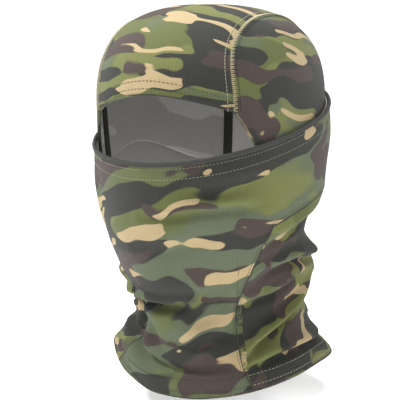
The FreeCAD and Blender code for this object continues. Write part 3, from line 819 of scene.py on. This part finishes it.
brow_stitches = [
    stitch_row("brow_stitches_%d" % k, brow_line, pitch=3.0 * MM, length=2.4 * MM,
               thickness=0.5 * MM, material=DARK_THREAD, up=up * MM)
    for k, up in enumerate((3.4, 8.6))
]
for part in (centre_panel, brow_fold, brow_roll, brow_strip, *brow_stitches):
    follow_hood(part)
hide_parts("hood_centre_panel")
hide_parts("brow_hem")
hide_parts("brow_elastic")

# ---- Hood: side panels ----
# A rounded piece over each ear, from the face opening to the back of the head. Its front edge is
# hemmed, and a narrow facing with a black overlocked edge is sewn inside behind it.

BACK_TOP = 2.75
TAPE_LENGTH = 330.0 * MM
OPENING_LENGTH = 40.0 * MM
OPENING_TOP = 204.0 * MM


def seam_place(turn):
    """Angle and level of the crown seam on the wearer's left."""
    return place_of(over(centre_half_width(turn), turn))


def side_place(u, v):
    """A patch spread evenly between four edges: u runs back from the opening, v up to the seam."""
    first, last = brow_turn(BROW_HALF_WIDTH), nape_turn(NAPE_HALF_WIDTH)
    foot_angle = opening_angle(OPENING_FOOT)
    corner = seam_place(first)
    front_level = OPENING_FOOT + (corner[1] - OPENING_FOOT) * v
    front = (opening_angle(front_level), front_level)
    back = seam_place(last + (BACK_TOP - last) * v)
    top = seam_place(first + (BACK_TOP - first) * u)
    low_back, top_back = seam_place(last), seam_place(BACK_TOP)
    low_angle = foot_angle + (low_back[0] - foot_angle) * u
    low = (low_angle, skirt_edge(low_angle))
    low_front = (foot_angle, OPENING_FOOT)
    return [
        (1 - v) * low[k] + v * top[k] + (1 - u) * front[k] + u * back[k]
        - (1 - u) * (1 - v) * low_front[k] - u * (1 - v) * low_back[k]
        - (1 - u) * v * corner[k] - u * v * top_back[k]
        for k in (0, 1)
    ]


def opening_line(side, low=OPENING_FOOT, high=OPENING_TOP, lean=1.0):
    """The opening's side edge, with up measured back from it. A lean of 0 would be upright."""
    def line(s, up, depth):
        level = low + (high - low) * s
        leaning = level * lean + (low + high) / 2 * (1 - lean)
        return mirrored(around, side)(opening_angle(leaning, up), level, depth)
    return line


def crown_seam_line(side):
    """The seam between centre and side panels, with up measured across it."""
    first, last = brow_turn(BROW_HALF_WIDTH), nape_turn(NAPE_HALF_WIDTH)

    def line(s, up, depth):
        turn = first + (last - first) * s
        return mirrored(over, side)(centre_half_width(turn) + up, turn, depth)
    return line


def opening_chart(s, up):
    """The cloth map of the narrow strips along the opening."""
    return up, s * OPENING_LENGTH


def tape_chart(s, up):
    """The cloth map of the long strips along a seam."""
    return up, s * TAPE_LENGTH


for side_name, side in (("left", 1), ("right", -1)):
    seed = 11.0 + side
    side_print = printed_knit("side_print_" + side_name, seed, turn=10.0, scale=1.0, bright=0.45)
    side_reverse = reverse_knit("side_reverse_" + side_name, seed)
    side_panel = cloth_panel(
        "side_panel_" + side_name, side_place, mirrored(around, side), rows=80, columns=50,
        inner=-CLOTH, outer=0.0, materials=(side_print, side_reverse),
    )
    hem_line = opening_line(side)
    facing_line = opening_line(side, low=OPENING_FOOT + 4 * MM, high=206 * MM, lean=0.25)
    opening_hem = cloth_panel(
        "opening_hem_" + side_name, lambda u, v: (u, v * 5 * MM), hem_line, rows=24, columns=5,
        inner=-2.4 * MM, outer=-1.2 * MM, materials=(side_print, side_reverse),
        chart=opening_chart,
    )
    opening_roll = rolled_edge(
        "opening_roll_" + side_name, hem_line, count=30, depth=-1.2 * MM, radius=1.25 * MM,
        material=side_print, up=0.4 * MM)
    facing = cloth_panel(
        "opening_facing_" + side_name, lambda u, v: (u, 24 * MM + v * 10 * MM), facing_line,
        rows=24, columns=6, inner=-2.3 * MM, outer=-1.2 * MM,
        materials=BLACK_BOTH, chart=opening_chart,
    )
    seam_line = crown_seam_line(side)
    tape = cloth_panel(
        "crown_tape_" + side_name, lambda u, v: (0.04 + 0.96 * u, (2 * v - 1) * 3 * MM), seam_line,
        rows=120, columns=5, inner=-2.1 * MM, outer=-1.2 * MM,
        materials=BLACK_BOTH, chart=tape_chart,
    )
    rungs = stitch_row(
        "crown_rungs_" + side_name, seam_line, pitch=1.35 * MM, length=6.0 * MM,
        thickness=0.5 * MM, material=CREAM_THREAD, depth=0.12 * MM, slant=math.radians(84.0))
    rail_rows = ((-3.0, OLIVE_THREAD), (0.3, OLIVE_THREAD), (3.1, DARK_THREAD))
    rails = [
        stitch_row("crown_rail_%s_%d" % (side_name, k), seam_line, pitch=2.6 * MM,
                   length=2.5 * MM, thickness=0.5 * MM, material=thread, up=up * MM,
                   depth=0.15 * MM)
        for k, (up, thread) in enumerate(rail_rows)
    ]
    for part in (side_panel, opening_hem, opening_roll, facing, tape, rungs, *rails):
        follow_hood(part)
    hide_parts("hood_side_panel_" + side_name)
    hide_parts("opening_hem_" + side_name)
    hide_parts("opening_facing_" + side_name)
    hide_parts("crown_tape_" + side_name)
    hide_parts("crown_seam_" + side_name)

# ---- Neck tube: face panel and nape panel ----
# The face panel is a band right round the head and the front of the neck, in one piece. The nape
# panel closes the back of the neck, with a bound and stitched seam to the face panel on each side.

FACE_PRINT = printed_knit("face_print", 24.0, turn=-10.0, scale=0.8, bright=0.0)
FACE_REVERSE = reverse_knit("face_reverse", 21.0)
NAPE_PRINT = printed_knit("nape_print", 34.0, turn=-24.0, scale=1.1, bright=0.7)
NAPE_REVERSE = reverse_knit("nape_reverse", 34.0)
FRONT_SHARE = 0.24
CHEEK_SHARE = 0.36
SEAM_REAR_END = 0.985
ROW_ENDS = {"first": 0.004, "last": 0.996}
FINE_STITCH = {"pitch": 2.6 * MM, "length": 1.9 * MM, "thickness": 0.34 * MM}


def follow_shield(part):
    """Bakes a part's placement into its mesh."""
    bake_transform(part)


def face_place(u, v):
    """u runs round from the nape to the nape; v from the side seams and collar up to the edge."""
    turn = 2 * u - 1
    side = np.where(turn < 0, -1.0, 1.0)
    spread = np.abs(turn)
    in_front = np.clip(spread / FRONT_SHARE, 0, 1)
    up_seam = np.clip((spread - FRONT_SHARE) / (CHEEK_SHARE - FRONT_SHARE), 0, 1)
    behind = np.clip((spread - CHEEK_SHARE) / (1 - CHEEK_SHARE), 0, 1)
    seam_level = SEAM_CHEEK * up_seam
    back_angle, back_level = side_seam_back(behind)
    at_front, at_seam = spread < FRONT_SHARE, spread < CHEEK_SHARE
    low_angle = np.where(at_front, in_front * SEAM_ANGLES[0],
                         np.where(at_seam, side_seam_front(seam_level), back_angle))
    low_level = np.where(at_front, 0.0, np.where(at_seam, seam_level, back_level))
    top_angle = smooth_between((0, FRONT_SHARE, CHEEK_SHARE, 1.0),
                               np.radians((0, 42, 66, 180)), spread)
    top_level = shield_edge(top_angle)
    return (side * (low_angle + (top_angle - low_angle) * v),
            low_level + (top_level - low_level) * v)


def nape_place(u, v):
    """u runs round the back from seam to seam, v up from the hem."""
    spread = 1 - np.abs(2 * u - 1)
    side = np.where(u < 0.5, 1.0, -1.0)
    top_angle, top_level = side_seam_back(spread)
    start, cheek_angle = SEAM_ANGLES[0], SEAM_ANGLES[-1]
    low_angle = start + (math.pi - start) * spread
    bow = side_seam_front(SEAM_CHEEK * v) - (1 - v) * start - v * cheek_angle
    angle = (1 - v) * low_angle + v * top_angle + (1 - spread) * bow
    wrapped = np.where(side > 0, angle, 2 * math.pi - angle)
    return wrapped, top_level * v


def shield_line(s, up, depth):
    """Round the shield's top edge, with up measured down from it."""
    angle = (2 * s - 1) * math.pi
    return tube(angle, shield_edge(angle, up), depth)


def side_seam_line(side):
    """From the neck hem up to the cheek and back to the nape, with up measured across."""
    def place(s):
        first = np.minimum(s * 2, 1.0)
        second = np.maximum(s * 2 - 1, 0.0) * SEAM_REAR_END
        level = SEAM_CHEEK * first
        back_angle, back_level = side_seam_back(second)
        return (np.where(s < 0.5, side_seam_front(level), back_angle),
                np.where(s < 0.5, level, back_level))

    step = 0.004

    def line(s, up, depth):
        s = np.asarray(s, float)
        angle, level = place(s)
        before, after = place(np.maximum(s - step, 0)), place(np.minimum(s + step, 1))
        round_step, rise = (after[0] - before[0]) * MEAN_RADIUS, after[1] - before[1]
        share = up / np.hypot(round_step, rise)
        return tube(side * (angle + share * rise / MEAN_RADIUS), level - share * round_step, depth)
    return line


face_panel = cloth_panel(
    "face_panel", face_place, tube, rows=300, columns=76, inner=0.0, outer=CLOTH,
    materials=(FACE_PRINT, FACE_REVERSE))
nape_panel = cloth_panel(
    "nape_panel", nape_place, tube, rows=200, columns=66, inner=0.0, outer=CLOTH,
    materials=(NAPE_PRINT, NAPE_REVERSE))
for part, node, flat, area in (
    (face_panel, "face_panel", (0.580, 0.205), 0.0520),
    (nape_panel, "nape_panel", (0.385, 0.180), 0.0540),
):
    follow_shield(part)
    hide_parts(node)

for side_name, side in (("left", 1), ("right", -1)):
    seam_line = side_seam_line(side)
    allowance = cloth_panel(
        "side_seam_" + side_name, lambda u, v: (0.06 + 0.94 * u, (2 * v - 1) * 2 * MM), seam_line,
        rows=160, columns=4, inner=-1.1 * MM, outer=-0.1 * MM,
        materials=BLACK_BOTH, chart=tape_chart,
    )
    seam_stitches = stitch_row(
        "side_seam_stitches_" + side_name, seam_line, material=DARK_THREAD, up=-2.2 * MM,
        depth=CLOTH + 0.15 * MM, **FINE_STITCH, **ROW_ENDS)
    seam_cord = rolled_edge(
        "side_seam_cord_" + side_name, seam_line, count=260, depth=CLOTH - 0.15 * MM,
        radius=0.5 * MM, material=DARK_THREAD)
    for part in (allowance, seam_stitches, seam_cord):
        follow_shield(part)
    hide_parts("side_seam_" + side_name)

# ---- Neck hem ----
# The lower edge of the tube is turned up inside and sewn down with two rows of stitches: dark
# thread on the face panel, light thread on the nape panel.

SEAM_STEP = 0.001


def front_hem_line(s, up, depth):
    """Round the front of the collar from seam to seam, with up measured up from the hem."""
    angle = (2 * s - 1) * (side_seam_front(up) - SEAM_STEP)
    return tube(angle, up, depth)


def rear_hem_line(s, up, depth):
    """The same round the back."""
    start = side_seam_front(up) + SEAM_STEP
    return tube(start + (2 * math.pi - 2 * start) * s, up, depth)


for hem_name, line, span, grid, cloth, reverse, thread, thread_slot in (
    ("front", front_hem_line, 0.12, 20, FACE_PRINT, FACE_REVERSE, DARK_THREAD, "dark_thread"),
    ("rear", rear_hem_line, 0.38, 60, NAPE_PRINT, NAPE_REVERSE, LIGHT_THREAD, "light_thread"),
):
    hem = cloth_panel(
        "neck_hem_" + hem_name, lambda u, v: (u, v * NECK_HEM), line, rows=2 * grid, columns=7,
        inner=-1.2 * MM, outer=-0.1 * MM, materials=(reverse, cloth),
        chart=lambda s, up: (s * span, up),
    )
    roll = rolled_edge(
        "neck_roll_" + hem_name, line, count=3 * grid, depth=-0.05 * MM, radius=1.15 * MM,
        material=cloth)
    rows = [
        stitch_row("neck_stitches_%s_%d" % (hem_name, k), line, pitch=3.1 * MM, length=2.5 * MM,
                   thickness=0.45 * MM, material=thread, up=up * MM, depth=CLOTH, **ROW_ENDS)
        for k, up in enumerate((3.8, 10.8))
    ]
    for part in (hem, roll, *rows):
        follow_shield(part)
    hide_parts("neck_hem_" + hem_name)

# ---- Hood join ----
# At the nape the hood's lower edge is tucked into the tube and held there by one line of sewing,
# on a short strip of black binding.

JOIN_HALF_ANGLE = math.radians(18.0)
JOIN_WIDTH = 5.0 * MM


def join_place(u, v):
    """u runs round the nape, v up from the hood's lower edge."""
    angle = math.pi + (2 * u - 1) * JOIN_HALF_ANGLE
    return angle, skirt_edge(angle, JOIN_WIDTH * v)


join_seam = cloth_panel(
    "hood_join_seam", join_place, around, rows=24, columns=4, inner=0.3 * MM, outer=2.1 * MM,
    materials=BLACK_BOTH,
)
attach(join_seam, "neck")
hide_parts("hood_join_seam")

# ---- Shield hem ----
# The face panel's top edge is turned in over a flat elastic, bound in black, and sewn down with
# two rows of light stitches.

RING_LENGTH = 0.57


def ring_chart(s, up):
    """The cloth map of the strips round the shield's top edge."""
    return s * RING_LENGTH, up


shield_fold = cloth_panel(
    "shield_top_hem", lambda u, v: (u, 0.6 * MM + v * 12.4 * MM), shield_line, rows=240, columns=7,
    inner=-1.7 * MM, outer=-0.7 * MM, materials=(FACE_REVERSE, FACE_REVERSE), chart=ring_chart,
)
shield_roll = rolled_edge(
    "shield_roll", shield_line, count=300, depth=0.6 * MM, radius=1.8 * MM,
    material=BLACK_BINDING, squash=0.9, up=0.6 * MM, closed=True)
shield_strip = cloth_panel(
    "shield_elastic", lambda u, v: (u, 1.7 * MM + v * 6 * MM), shield_line, rows=200, columns=4,
    inner=-0.6 * MM, outer=-0.1 * MM, materials=ELASTIC_BOTH, chart=ring_chart,
)
shield_stitches = [
    stitch_row("shield_stitches_%d" % k, shield_line, material=LIGHT_THREAD, up=up * MM,
               depth=CLOTH, **FINE_STITCH)
    for k, up in enumerate((4.2, 11.4))
]
for part in (shield_fold, shield_roll, shield_strip):
    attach(part, "shield")
for part in shield_stitches:
    follow_shield(part)
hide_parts("shield_top_hem")
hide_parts("shield_elastic")
